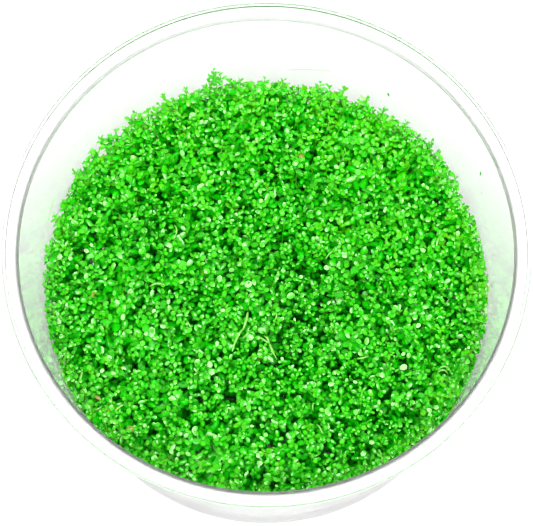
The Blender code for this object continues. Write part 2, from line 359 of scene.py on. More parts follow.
def triangles_object(name, points, faces, face_uvs=None):
    """An object from arrays of points and triangles, with an OFBake map where corners are given."""
    mesh = bpy.data.meshes.new(name)
    mesh.vertices.add(len(points))
    mesh.vertices.foreach_set("co", points.astype(np.float32).ravel())
    mesh.loops.add(faces.size)
    mesh.loops.foreach_set("vertex_index", faces.astype(np.int32).ravel())
    mesh.polygons.add(len(faces))
    mesh.polygons.foreach_set("loop_start", np.arange(0, faces.size, 3, dtype=np.int32))
    mesh.update(calc_edges=True)
    if face_uvs is not None:
        layer = mesh.uv_layers.new(name="OFBake")
        layer.uv.foreach_set("vector", face_uvs.astype(np.float32).ravel())
    mesh.validate()
    mesh.shade_smooth()
    mesh.set_sharp_from_angle(angle=math.radians(75))
    return link(name, mesh)


def unit(vectors):
    """Vectors of length one."""
    return vectors / np.linalg.norm(vectors, axis=-1, keepdims=True)


def leaf_template(stations, folds):
    """One leaf as a closed lens: rows of along, across and layer, triangles, and which are underneath.

    Along runs from 0 at the stalk to 1 at the tip, across from -1 to 1, and layer is 1 above, -1 below.
    Stations are the shares of its length with points, and folds the places across its upper side."""
    rows = [(0.0, 0.0, 0.0)]
    columns = {}
    lines = [(-1.0, 0.0), (1.0, 0.0), (0.0, -1.0)] + [(fold, 1.0 - fold ** 2) for fold in folds]
    for across, layer in lines:
        columns[across, layer < 0] = range(len(rows), len(rows) + len(stations))
        rows += [(along, across, layer) for along in stations]
    tip = len(rows)
    rows.append((1.0, 0.0, 0.0))
    above = [columns[across, False] for across in (-1.0, *folds, 1.0)]
    below = [columns[1.0, False], columns[0.0, True], columns[-1.0, False]]
    faces, under = [], []
    for sheet, flag in ((above, False), (below, True)):
        for first, second in zip(sheet, sheet[1:]):
            strip = [(0, first[0], second[0])]
            for a, b, c, d in zip(first, first[1:], second, second[1:]):
                strip += [(a, b, d), (a, d, c)]
            strip.append((first[-1], tip, second[-1]))
            faces += strip
            under += [flag] * len(strip)
    return np.array(rows), np.array(faces), np.array(under)


def half_width(along):
    """Half the leaf's width at a share of its length, where the widest place is 1. A rounded egg shape."""
    return np.sqrt(np.clip(1.0 - ((along - 0.53) / 0.50) ** 2, 0.0, 1.0)) * (0.93 + 0.12 * along)


def squeeze(points):
    """Holds points inside the cup: softly inside the wall, and above the gel."""
    reach = np.hypot(points[..., 0], points[..., 1])
    limit = inner_radius(points[..., 2]) - LEAF_CLEARANCE
    over = np.maximum(reach - limit + SOFT_EDGE, 0.0)
    held = np.minimum(reach, limit - SOFT_EDGE) + SOFT_EDGE * np.tanh(over / SOFT_EDGE)
    scale = held / np.maximum(reach, 1e-9)
    points[..., 0] *= scale
    points[..., 1] *= scale
    points[..., 2] = np.maximum(points[..., 2], GEL_TOP + MENISCUS_HEIGHT * 0.4)
    return points


def leaves_object(name, leaves, shape):
    """All the leaves of one group as one mesh, each with its own place, size, bend and tone cell."""
    rows, faces, under = leaf_template(*shape)
    along = rows[:, 0][None, :, None]
    across = rows[:, 1][None, :, None]
    layer = rows[:, 2][None, :, None]
    width = half_width(along) * leaves["width"][:, None, None] * 0.5
    length = leaves["length"][:, None, None]
    out = leaves["out"][:, None, :]
    up = leaves["up"][:, None, :]
    side = np.cross(out, up)
    crown = leaves["dome"][:, None, None] * (1.0 - across ** 2) * np.sin(math.pi * np.clip(along, 0, 1))
    bend = leaves["droop"][:, None, None] * along ** 2
    thick = leaves["thick"][:, None, None] * layer * np.sin(math.pi * (0.08 + 0.84 * along))
    points = leaves["base"][:, None, :] + out * length * along + side * width * across
    points = points + up * (length * (crown - bend) + thick)
    points = squeeze(points)
    count = len(rows)
    offsets = np.arange(len(points))[:, None, None] * count
    all_faces = (faces[None] + offsets).reshape(-1, 3)
    corner_along = rows[faces, 0]
    corner_across = rows[faces, 1] * half_width(corner_along)
    cell_u = 0.5 + 0.5 * corner_across
    cell = np.stack([cell_u, corner_along], axis=-1) * (1 - 2 * CELL_MARGIN) + CELL_MARGIN
    row = leaves["age"][:, None, None] + np.where(under, AGES, 0)[None, :, None]
    tone = leaves["tone"][:, None, None]
    uvs = np.empty((len(points), len(faces), 3, 2))
    uvs[..., 0] = (tone + cell[None, ..., 0]) / TONES
    uvs[..., 1] = (row + cell[None, ..., 1]) / (2 * AGES)
    return triangles_object(name, points.reshape(-1, 3), all_faces, uvs.reshape(-1, 2))


def tubes_object(name, paths, radii, sides, rng):
    """Thin tubes along paths, all in one mesh. Paths are of one length, and radii are per path and point."""
    count, steps = paths.shape[:2]
    tangent = unit(np.gradient(paths, axis=1))
    helper = np.where(np.abs(tangent[..., 2:3]) > 0.8, np.array([1.0, 0.0, 0.0]), np.array([0.0, 0.0, 1.0]))
    first = unit(np.cross(tangent, helper))
    second = np.cross(tangent, first)
    angles = np.arange(sides) * math.tau / sides
    ring = first[:, :, None, :] * np.cos(angles)[:, None] + second[:, :, None, :] * np.sin(angles)[:, None]
    points = paths[:, :, None, :] + ring * radii[:, :, None, None]
    faces, corners = [], []
    for step in range(steps - 1):
        for index in range(sides):
            a = step * sides + index
            b = step * sides + (index + 1) % sides
            low, high = step / (steps - 1), (step + 1) / (steps - 1)
            left, right = index / sides, (index + 1) / sides
            faces += [(a, b, b + sides), (a, b + sides, a + sides)]
            corners.append(((left, low), (right, low), (right, high)))
            corners.append(((left, low), (right, high), (left, high)))
    last = (steps - 1) * sides
    for index in range(1, sides - 1):
        faces += [(0, index + 1, index), (last, last + index, last + index + 1)]
        corners += [((0.0, 0.0), (1.0, 0.1), (0.5, 0.1)), ((0.0, 1.0), (0.5, 0.9), (1.0, 0.9))]
    faces = np.array(faces)
    corners = np.array(corners) * (1 - 2 * CELL_MARGIN) + CELL_MARGIN
    offsets = np.arange(count)[:, None, None] * (steps * sides)
    uvs = np.repeat(corners[None], count, axis=0)
    uvs[..., 0] = (uvs[..., 0] + rng.integers(0, TUBE_COLUMNS, count)[:, None, None]) / TUBE_COLUMNS
    all_faces = (faces[None] + offsets).reshape(-1, 3)
    return triangles_object(name, points.reshape(-1, 3), all_faces, uvs.reshape(-1, 2))


def carpet_height(x, y):
    """The carpet's height at a place: a gentle swell that sinks or climbs at the wall."""
    swell = noise.noise(Vector((x, y, 0.0)) / SWELL_LENGTH)
    reach = inner_radius(CARPET_TOP)
    spread = math.hypot(x, y)
    angle = math.degrees(math.atan2(y, x)) % 360.0
    lift = float(np.interp(angle, *zip(*EDGE_LIFT))) * MM
    lift *= max(0.0, 1.0 - (reach - spread) / EDGE_LIFT_WIDTH) ** 2
    return CARPET_TOP + SWELL_HEIGHT * swell - CARPET_SINK * (spread / reach) ** 6 + lift


def shoot_tips(rng):
    """Where the shoots' tips are in plan: a staggered field over the carpet and rows along the wall."""
    reach = inner_radius(CARPET_TOP)
    tips = []
    row_step = SHOOT_SPACING * math.sqrt(3) / 2
    rows = int(reach / row_step) + 1
    columns = int(reach / SHOOT_SPACING) + 1
    for row in range(-rows, rows + 1):
        for column in range(-columns, columns + 1):
            x = (column + 0.5 * (row % 2)) * SHOOT_SPACING
            y = row * row_step
            x, y = np.array((x, y)) + rng.uniform(-0.4, 0.4, 2) * SHOOT_SPACING
            if math.hypot(x, y) < reach - WALL_ROWS[1]:
                tips.append((x, y))
    for inset in WALL_ROWS:
        spread = reach - inset
        count = int(math.tau * spread / WALL_SHOOT_SPACING)
        for index in range(count):
            angle = math.tau * (index + rng.uniform(-0.35, 0.35)) / count
            place = spread - rng.uniform(-0.3, 0.5) * MM
            tips.append((place * math.cos(angle), place * math.sin(angle)))
    return np.array(tips)


def noise_at(points, layer, length):
    """Smooth noise at places in plan, at a layer of its own and at a wave length."""
    return np.array([noise.noise(Vector((x, y, 0.0)) / length + Vector((0, 0, layer))) for x, y in points])


def make_shoots(rng):
    """The shoots as curved stems: foot, bend and tip, a heading for the leaves, a tone and a vigour."""
    tips = shoot_tips(rng)
    count = len(tips)
    height = np.array([carpet_height(x, y) for x, y in tips]) + rng.normal(0.0, 1.0, count) * TIP_SCATTER
    hollows = np.clip(noise_at(tips, 3.1, HOLLOW_LENGTH) - HOLLOW_THRESHOLD, 0.0, 1.0)
    height -= hollows * HOLLOW_DEPTH
    tip = np.column_stack([tips, height])
    shrink = inner_radius(GEL_TOP) / inner_radius(CARPET_TOP)
    rooted = tips * shrink * 0.98 + rng.normal(0, 1.2, (count, 2)) * MM
    foot = np.column_stack([rooted, np.full(count, GEL_TOP)])
    spread = np.hypot(tips[:, 0], tips[:, 1])
    reach = inner_radius(CARPET_TOP)
    # Painted light: leaves lighter towards the wall, lit from behind by the white wall, and towards the
    # right and back
    lighter = PAINTED_WALL_LIGHT * (spread / reach) ** 2
    lighter += (PAINTED_RIGHT_LIGHT * tips[:, 0] + PAINTED_BACK_LIGHT * tips[:, 1]) / reach
    patches = PATCH_TONE * noise_at(tips, 0.9, 8.0 * MM)
    return {
        "foot": foot,
        "bend": (foot + tip) / 2 + rng.normal(0, 1.0, (count, 3)) * MM,
        "tip": tip,
        "heading": rng.uniform(0, math.tau, count),
        "tone": CENTRE_TONE + lighter + patches + rng.normal(0, SHOOT_TONE, count),
        "vigour": 1.0 + 0.35 * noise_at(tips, 5.7, 7.0 * MM) + rng.normal(0, 0.06, count),
        "by_wall": spread > reach - WALL_ZONE,
    }


def sprig_places(rng):
    """Where the sprigs stand, as angle, share of the way to the wall, and height over the carpet."""
    places = [(math.radians(angle), SPRIG_REACH, height * MM) for angle, height in BACK_SPRIGS]
    for index in range(SIDE_SPRIGS):
        angle = math.tau * (index + rng.uniform(-0.4, 0.4)) / SIDE_SPRIGS
        places.append((angle, rng.uniform(OPEN_REACH, SPRIG_REACH), rng.uniform(0.4, 1.8) * MM))
    for index in range(OPEN_SPRIGS):
        share = math.sqrt((index + 0.5) / OPEN_SPRIGS)
        places.append((rng.uniform(0, math.tau), OPEN_REACH * share, rng.uniform(0.5, 1.5) * MM))
    return places


def make_sprigs(rng):
    """Single shoots that stand over the carpet, as curved stems like the others."""
    feet, bends, tips = [], [], []
    for angle, share, height in sprig_places(rng):
        direction = np.array((math.cos(angle), math.sin(angle)))
        plan = direction * share * inner_radius(CARPET_TOP)
        top = carpet_height(*plan) + height
        tip = direction * share * inner_radius(top)
        low = plan * SPRIG_FOOT + rng.normal(0, 0.5, 2) * MM
        tips.append((*tip, top))
        feet.append((*low, top - height - SPRIG_BURIED))
        middle = (tip * 0.6 + low * 0.4) + rng.normal(0, 0.5, 2) * MM
        bends.append((*middle, top - height * 0.5 - SPRIG_BURIED * 0.35))
    count = len(tips)
    return {
        "foot": np.array(feet),
        "bend": np.array(bends),
        "tip": np.array(tips),
        "heading": rng.uniform(0, math.tau, count),
        "tone": rng.normal(5.0, 1.0, count),
        "vigour": rng.normal(1.0, 0.08, count),
        "by_wall": np.ones(count, bool),
    }


def stem_point(shoots, share):
    """Points and directions at a share of each stem's length from its foot."""
    share = np.asarray(share)[..., None]
    foot, bend, tip = shoots["foot"], shoots["bend"], shoots["tip"]
    place = (1 - share) ** 2 * foot + 2 * share * (1 - share) * bend + share ** 2 * tip
    along = 2 * (1 - share) * (bend - foot) + 2 * share * (tip - bend)
    return place, unit(along)


def picked(shoots, keep):
    """The shoots that a mask keeps."""
    return {name: values[keep] for name, values in shoots.items()}


def tone_cells(tones):
    """The map's columns for tones."""
    return np.clip(np.round(tones), 0, TONES - 1)


def node_leaves(shoots, turn_index, node, rng):
    """The two leaves of one node of every shoot, opposite each other and crossed with the node above."""
    # The node's step in tone darkens lower nodes: partly the green of older leaves, partly painted shade
    drop, size, slim, pitch, tone, age = node
    count = len(shoots["tip"])
    stem_length = np.linalg.norm(shoots["tip"] - shoots["foot"], axis=1)
    drops = drop * MM * rng.uniform(0.8, 1.2, count)
    place, axis = stem_point(shoots, np.clip(1 - drops / stem_length, 0.02, 1.0))
    helper = unit(np.cross(axis, np.array([0.3, 0.9, 0.1])))
    other = np.cross(axis, helper)
    turn = shoots["heading"] + turn_index * math.pi / 2 + rng.normal(0, TURN_SPREAD, count)
    groups = []
    for side in range(2):
        angle = (turn + math.pi * side)[:, None]
        away = helper * np.cos(angle) + other * np.sin(angle)
        lean = np.radians(pitch + rng.normal(0, PITCH_SPREAD, count))[:, None]
        out = unit(axis * np.cos(lean) + away * np.sin(lean) + rng.normal(0, AIM_SPREAD, (count, 3)))
        up = axis * np.sin(lean) - away * np.cos(lean) + rng.normal(0, ROLL_SPREAD, (count, 3))
        up = unit(up - out * (up * out).sum(1, keepdims=True))
        length = size * MM * rng.lognormal(0.0, LENGTH_SPREAD, count) * shoots["vigour"]
        groups.append({
            "base": place + out * STEM_RADIUS * 0.5,
            "out": out,
            "up": up,
            "length": length,
            "width": length * slim * rng.uniform(0.78, 1.22, count),
            "dome": rng.choice((-0.7, 1.0), count) * rng.uniform(0.08, 0.20, count),
            "droop": rng.normal(0.06, 0.18, count),
            "thick": LEAF_THICKNESS * rng.uniform(0.8, 1.3, count),
            "tone": tone_cells(shoots["tone"] + tone + rng.normal(0, TONE_SPREAD, count)),
            "age": np.full(count, age),
        })
    return merged(groups)


def ground_leaves(rng):
    """Older leaves of the creeping stems, low between the shoots."""
    count = GROUND_LEAVES
    spread = (inner_radius(GROUND_HEIGHTS[0]) - 0.5 * MM) * np.sqrt(rng.uniform(0, 1, count))
    angle = rng.uniform(0, math.tau, count)
    heading = rng.uniform(0, math.tau, count)
    out = unit(np.column_stack([np.cos(heading), np.sin(heading), rng.normal(0.1, 0.3, count)]))
    up = np.column_stack([rng.normal(0, 0.3, (count, 2)), np.ones(count)])
    length = rng.uniform(2.0, 3.0, count) * MM
    height = rng.uniform(*GROUND_HEIGHTS, count)
    return {
        "base": np.column_stack([spread * np.cos(angle), spread * np.sin(angle), height]),
        "out": out,
        "up": unit(up - out * (up * out).sum(1, keepdims=True)),
        "length": length,
        "width": length * rng.uniform(0.6, 0.9, count),
        "dome": rng.uniform(0.05, 0.15, count),
        "droop": rng.normal(0.05, 0.15, count),
        "thick": np.full(count, LEAF_THICKNESS),
        # Only the two darkest tones: partly the green of old leaves, partly painted shade low in the carpet
        "tone": rng.integers(0, 2, count),
        "age": np.zeros(count, int),
    }


def merged(groups):
    """Several groups of leaves as one."""
    return {name: np.concatenate([group[name] for group in groups]) for name in groups[0]}


def color_ramp(nodes, stops):
    """A colour ramp with the given places and colours."""
    ramp = nodes.new("ShaderNodeValToRGB")
    elements = ramp.color_ramp.elements
    while len(elements) < len(stops):
        elements.new(0.5)
    for element, (place, color) in zip(elements, stops):
        element.position = place
        element.color = (*color, 1.0)
    return ramp


def math_node(tree, operation, first, second=None):
    """A math node fed by sockets or numbers."""
    made = tree.nodes.new("ShaderNodeMath")
    made.operation = operation
    for index, value in enumerate((first, second)):
        if value is None:
            continue
        if isinstance(value, (int, float)):
            made.inputs[index].default_value = value
        else:
            tree.links.new(value, made.inputs[index])
    return made.outputs[0]


def mix_color(tree, share, first, second):
    """A mix of two colours, each a socket or a colour, by a share that is a socket or a number."""
    made = tree.nodes.new("ShaderNodeMix")
    made.data_type = "RGBA"
    for name, value in (("Factor", share), ("A", first), ("B", second)):
        socket = next(s for s in made.inputs if s.name == name and s.enabled)
        if isinstance(value, bpy.types.NodeSocket):
            tree.links.new(value, socket)
        elif isinstance(value, (int, float)):
            socket.default_value = value
        else:
            socket.default_value = (*value, 1.0)
    return next(s for s in made.outputs if s.enabled)


def new_material(name):
    """An empty node material: its tree and its Principled shader."""
    material = bpy.data.materials.new(name)
    material.use_nodes = True
    return material, material.node_tree, material.node_tree.nodes["Principled BSDF"]


def leaf_material(name, gloss, dullness, glint):
    """Leaves: a tone and an age from each leaf's cell of the map, a pale rib, and a tinted gloss."""
    material, tree, shader = new_material(name)
    links = tree.links
    uv = tree.nodes.new("ShaderNodeUVMap")
    uv.uv_map = "OFBake"
    parts = tree.nodes.new("ShaderNodeSeparateXYZ")
    links.new(uv.outputs["UV"], parts.inputs[0])
    column = math_node(tree, "MULTIPLY", parts.outputs[0], float(TONES))
    row = math_node(tree, "MULTIPLY", parts.outputs[1], float(2 * AGES))
    tone = math_node(tree, "DIVIDE", math_node(tree, "FLOOR", column), float(TONES - 1))
    across = math_node(tree, "ABSOLUTE", math_node(tree, "SUBTRACT", math_node(tree, "FRACT", column), 0.5))
    along = math_node(tree, "FRACT", row)
    under = math_node(tree, "GREATER_THAN", row, float(AGES))
    step = math_node(tree, "FLOOR", math_node(tree, "MODULO", row, float(AGES)))
    age = math_node(tree, "DIVIDE", step, AGES - 1.0)
    ramp = color_ramp(tree.nodes, (
        (0.0, (0.000, 0.09, 0.000)),
        (0.3, (0.000, 0.20, 0.000)),
        (0.55, (0.000, 0.34, 0.000)),
        (0.8, (0.006, 0.46, 0.000)),
        (1.0, (0.085, 0.58, 0.001)),
    ))
    links.new(tone, ramp.inputs[0])
    mottle = tree.nodes.new("ShaderNodeTexNoise")
    mottle.inputs["Scale"].default_value = 34.0
    mottle.inputs["Detail"].default_value = 3.0
    links.new(uv.outputs["UV"], mottle.inputs["Vector"])
    blotch = math_node(tree, "MULTIPLY", mottle.outputs[0], PATCH_SHARE)
    patched = mix_color(tree, blotch, ramp.outputs[0], (0.001, 0.34, 0.000))
    rib = math_node(tree, "MULTIPLY", math_node(tree, "LESS_THAN", across, RIB_HALF_WIDTH), RIB_SHARE)
    ribbed = mix_color(tree, rib, patched, (0.02, 0.42, 0.002))
    below = math_node(tree, "MULTIPLY", under, UNDERSIDE_SHARE)
    faced = mix_color(tree, below, ribbed, (0.01, 0.34, 0.004))
    stalk = math_node(tree, "MULTIPLY", math_node(tree, "LESS_THAN", along, STALK_LENGTH), STALK_SHARE)
    stalked = mix_color(tree, stalk, faced, (0.02, 0.40, 0.002))
    youth = color_ramp(tree.nodes, (
        (0.0, (0.0, 0.0, 0.0)),
        (0.34, (0.03, 0.03, 0.03)),
        (0.67, (0.25, 0.25, 0.25)),
        (1.0, (0.75, 0.75, 0.75)),
    ))
    links.new(age, youth.inputs[0])
    aged = mix_color(tree, youth.outputs[0], stalked, (0.06, 0.60, 0.012))
    links.new(aged, shader.inputs["Base Color"])
    rough = math_node(tree, "ADD", math_node(tree, "MULTIPLY", mottle.outputs[0], 0.12), dullness)
    links.new(rough, shader.inputs["Roughness"])
    shader.inputs["IOR"].default_value = LEAF_IOR
    shader.inputs["Specular IOR Level"].default_value = gloss
    shader.inputs["Specular Tint"].default_value = (*glint, 1.0)
    shader.inputs["Subsurface Weight"].default_value = 0.6
    shader.inputs["Subsurface Radius"].default_value = (0.3, 1.0, 0.2)
    shader.inputs["Subsurface Scale"].default_value = 0.6 * MM
    return material


def grained_material(name, scale, stops, roughness, gloss=0.5):
    """A plant material whose colour wanders along each tube of the map. Stops are places and colours."""
    material, tree, shader = new_material(name)
    uv = tree.nodes.new("ShaderNodeUVMap")
    uv.uv_map = "OFBake"
    grain = tree.nodes.new("ShaderNodeTexNoise")
    grain.inputs["Scale"].default_value = scale
    grain.inputs["Detail"].default_value = 3.0
    tree.links.new(uv.outputs["UV"], grain.inputs["Vector"])
    ramp = color_ramp(tree.nodes, stops)
    tree.links.new(grain.outputs[0], ramp.inputs[0])
    tree.links.new(ramp.outputs[0], shader.inputs["Base Color"])
    rough = math_node(tree, "ADD", math_node(tree, "MULTIPLY", grain.outputs[0], 0.2), roughness)
    tree.links.new(rough, shader.inputs["Roughness"])
    shader.inputs["Specular IOR Level"].default_value = gloss
    return material


def stem_material():
    """Stems: mid green with darker and lighter lengths."""
    return grained_material("stem", 22.0, (
        (0.3, (0.01, 0.24, 0.001)),
        (0.5, (0.04, 0.40, 0.004)),
        (0.7, (0.11, 0.52, 0.015)),
    ), 0.28, 0.1)


def pale_stem_material():
    """Stems on top of the carpet, bleached to a pale yellow-green."""
    return grained_material("pale_stem", 16.0, (
        (0.3, (0.06, 0.40, 0.02)),
        (0.5, (0.16, 0.48, 0.06)),
        (0.7, (0.30, 0.54, 0.14)),
    ), 0.25)


def root_material():
    """Roots: white, faintly cream."""
    return grained_material("root", 18.0, ((0.3, (0.40, 0.44, 0.28)), (0.7, (0.66, 0.68, 0.54))), 0.4)


def withered_material():
    """Withered leaves: olive and brown."""
    return grained_material("withered_leaf", 14.0, (
        (0.3, (0.10, 0.17, 0.004)),
        (0.5, (0.17, 0.17, 0.008)),
        (0.7, (0.19, 0.14, 0.012)),
    ), 0.35)


def plastic_material():
    """Clear moulded plastic: faint flow ripples, and a matt edge at the mouth."""
    material, tree, shader = new_material("clear_plastic")
    place = tree.nodes.new("ShaderNodeTexCoord")
    ripple = tree.nodes.new("ShaderNodeTexNoise")
    ripple.inputs["Scale"].default_value = 26.0
    ripple.inputs["Detail"].default_value = 2.0
    tree.links.new(place.outputs["Object"], ripple.inputs["Vector"])
    rippled = math_node(tree, "MULTIPLY", ripple.outputs[0], RIPPLE_ROUGHNESS)
    rough = math_node(tree, "ADD", rippled, PLASTIC_ROUGHNESS)
    parts = tree.nodes.new("ShaderNodeSeparateXYZ")
    tree.links.new(place.outputs["Object"], parts.inputs[0])
    squares = [math_node(tree, "MULTIPLY", parts.outputs[axis], parts.outputs[axis]) for axis in (0, 1)]
    spread = math_node(tree, "SQRT", math_node(tree, "ADD", *squares))
    near = math_node(tree, "LESS_THAN", spread, MATT_RADIUS)
    high = math_node(tree, "GREATER_THAN", parts.outputs[2], CUP_HEIGHT - MATT_DEPTH)
    matt = math_node(tree, "MULTIPLY", math_node(tree, "MULTIPLY", near, high), MATT_ROUGHNESS)
    tree.links.new(math_node(tree, "ADD", rough, matt), shader.inputs["Roughness"])
    bump = tree.nodes.new("ShaderNodeBump")
    bump.inputs["Strength"].default_value = 0.03
    bump.inputs["Distance"].default_value = 0.3 * MM
    tree.links.new(ripple.outputs[0], bump.inputs["Height"])
    tree.links.new(bump.outputs[0], shader.inputs["Normal"])
    shader.inputs["Base Color"].default_value = (1.0, 1.0, 1.0, 1.0)
    shader.inputs["Transmission Weight"].default_value = 1.0
    shader.inputs["IOR"].default_value = PLASTIC_IOR
    inside = tree.nodes.new("ShaderNodeVolumeAbsorption")
    inside.inputs["Color"].default_value = (*PLASTIC_TINT, 1.0)
    inside.inputs["Density"].default_value = PLASTIC_DENSITY
    tree.links.new(inside.outputs["Volume"], tree.nodes["Material Output"].inputs["Volume"])
    return material


def gel_material():
    """Clear growth gel with a trace of cloud."""
    material, tree, shader = new_material("growth_gel")
    place = tree.nodes.new("ShaderNodeTexCoord")
    cloud = tree.nodes.new("ShaderNodeTexNoise")
    cloud.inputs["Scale"].default_value = 60.0
    cloud.inputs["Detail"].default_value = 4.0
    tree.links.new(place.outputs["Object"], cloud.inputs["Vector"])
    ramp = color_ramp(tree.nodes, ((0.35, (0.93, 0.96, 0.90)), (0.65, (0.98, 0.99, 0.96))))
    tree.links.new(cloud.outputs[0], ramp.inputs[0])
    tree.links.new(ramp.outputs[0], shader.inputs["Base Color"])
    rough = math_node(tree, "ADD", math_node(tree, "MULTIPLY", cloud.outputs[0], 0.10), 0.03)
    tree.links.new(rough, shader.inputs["Roughness"])
    shader.inputs["Transmission Weight"].default_value = 1.0
    shader.inputs["IOR"].default_value = GEL_IOR
    return material


def dressed(piece, material):
    """Gives a piece its material, and lets it ride on the part's one body."""
    piece.data.materials.clear()
    piece.data.materials.append(material)
    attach(piece, "root")
    return piece


def make_cup():
    """The clear cup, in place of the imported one."""
    cup = dressed(turned("clear_cup", cup_profile(), CUP_SIDES), plastic_material())
    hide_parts("cup")


def make_gel():
    """The growth gel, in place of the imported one."""
    gel = dressed(turned("growth_gel", gel_profile(), GEL_SIDES), gel_material())
    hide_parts("gel")


def make_roots(rng):
    """White roots that wander down through the gel from the plants' feet."""
    spread = (inner_radius(GEL_TOP) - 1.5 * MM) * np.sqrt(rng.uniform(0, 1, ROOT_COUNT))
    angle = rng.uniform(0, math.tau, ROOT_COUNT)
    depth = rng.uniform(0.35, 0.92, ROOT_COUNT) * (GEL_TOP - 3.5 * MM)
    share = np.linspace(0, 1, ROOT_POINTS)
    wander = np.cumsum(rng.normal(0, ROOT_WANDER, (ROOT_COUNT, ROOT_POINTS, 2)) * MM, axis=1)
    paths = np.empty((ROOT_COUNT, ROOT_POINTS, 3))
    paths[..., 0] = (spread * np.cos(angle))[:, None] * (1 - 0.03 * share) + wander[..., 0]
    paths[..., 1] = (spread * np.sin(angle))[:, None] * (1 - 0.03 * share) + wander[..., 1]
    paths[..., 2] = GEL_TOP - 0.4 * MM - depth[:, None] * share
    reach = np.hypot(paths[..., 0], paths[..., 1])
    limit = inner_radius(paths[..., 2]) - 1.0 * MM
    paths[..., :2] *= np.minimum(1.0, limit / np.maximum(reach, 1e-9))[..., None]
    radii = ROOT_RADIUS * (1.0 - ROOT_TAPER * share)[None, :] * rng.uniform(0.7, 1.2, (ROOT_COUNT, 1))
    dressed(tubes_object("roots", paths, radii, 3, rng), root_material())


def make_stems(name, shoots, radius, steps, rng, material):
    """Every shoot's stem, thinner towards the tip."""
    shares = np.linspace(0.0, 1.0, steps)
    paths = np.stack([stem_point(shoots, np.full(len(shoots["tip"]), s))[0] for s in shares], axis=1)
    radii = radius * (STEM_FOOT_SHARE - STEM_TAPER * shares)[None, :] * np.ones((len(paths), 1))
    return dressed(tubes_object(name, squeeze(paths), radii, 3, rng), material)


def make_leaves(shoots, sprigs, rng, young, old, low):
    """The leaves in groups: tips, broad pairs under them, the shaded ones, the wall's and the sprigs'."""
    nodes = [node_leaves(shoots, index, node, rng) for index, node in enumerate(NODES)]
    wall = picked(shoots, shoots["by_wall"])
    side = [node_leaves(wall, index, node, rng) for index, node in enumerate(WALL_NODES)]
    high = [node_leaves(sprigs, index, node, rng) for index, node in enumerate(SPRIG_NODES)]
    groups = (
        ("young_leaves", nodes[:1], COARSE_LEAF, young),
        ("upper_leaves", nodes[1:2], MIDDLING_LEAF, young),
        ("broad_leaves", nodes[2:3], FINE_LEAF, old),
        ("middle_leaves", nodes[3:4], COARSE_LEAF, old),
        ("shaded_leaves", nodes[4:] + [ground_leaves(rng)], PLAIN_LEAF, low),
        ("wall_leaves", side, PLAIN_LEAF, low),
        ("sprig_leaves", high, MIDDLING_LEAF, young),
    )
    made = []
    for name, parts, shape, material in groups:
        made.append(dressed(leaves_object(name, merged(parts), shape), material))
    return made


def lying_path(start, end, bow):
    """A bowed path that lies on the carpet from one place to another, in mm."""
    start, end = np.array(start), np.array(end)
    side = np.array((start[1] - end[1], end[0] - start[0])) * bow
    points = []
    for share in np.linspace(0.0, 1.0, len(STRAY_TAPER)):
        hump = 4 * share * (1 - share)
        x, y = (start + (end - start) * share + side * hump) * MM
        points.append((x, y, carpet_height(x, y) + (0.6 * hump - 0.1) * MM))
    return points


def make_stray_stems(rng, material):
    """Pale stems that lie on the carpet: those that stand out, and short ones scattered at random."""
    paths, radii = [], []
    for x0, y0, x1, y1, bow, thick in STRAY_STEMS:
        paths.append(lying_path((x0, y0), (x1, y1), bow))
        radii.append(0.5 * thick * MM)
    for index in range(LOOSE_STEMS):
        spread = 0.93 * inner_radius(CARPET_TOP) / MM * math.sqrt((index + 0.5) / LOOSE_STEMS)
        angle = rng.uniform(0, math.tau)
        start = np.array((math.cos(angle), math.sin(angle))) * spread
        heading = rng.uniform(0, math.tau)
        end = start + np.array((math.cos(heading), math.sin(heading))) * rng.uniform(1.2, 2.8)
        paths.append(lying_path(start, end, rng.uniform(-0.2, 0.2)))
        radii.append(rng.uniform(0.12, 0.20) * MM)
    radii = np.array(radii)[:, None] * np.array(STRAY_TAPER)[None, :]
    stems = tubes_object("stray_stems", squeeze(np.array(paths)), radii, 6, rng)
    return dressed(stems, material)


def flat_leaves(places, length, tone, age, rng):
    """Leaves at given places that lie along given directions. Places give base, out and up."""
    count = len(places)
    base, out, up = (np.array(values, float) for values in zip(*places))
    return {
        "base": base,
        "out": unit(out),
        "up": unit(up),
        "length": np.array(length),
        "width": np.array(length) * rng.uniform(0.45, 0.8, count),
        "dome": rng.uniform(0.02, 0.12, count),
        "droop": rng.uniform(-0.1, 0.15, count),
        "thick": np.full(count, LEAF_THICKNESS),
        "tone": np.full(count, tone),
        "age": np.full(count, age),
    }


def on_wall(angle, height, inset):
    """A place on the inner wall, with the directions round the cup, up the wall and inwards."""
    radius = inner_radius(height) - inset
    place = np.array((radius * math.cos(angle), radius * math.sin(angle), height))
    around = np.array((-math.sin(angle), math.cos(angle), 0.0))
    inward = np.array((-math.cos(angle), -math.sin(angle), 0.1))
    return place, around, np.cross(around, inward), inward


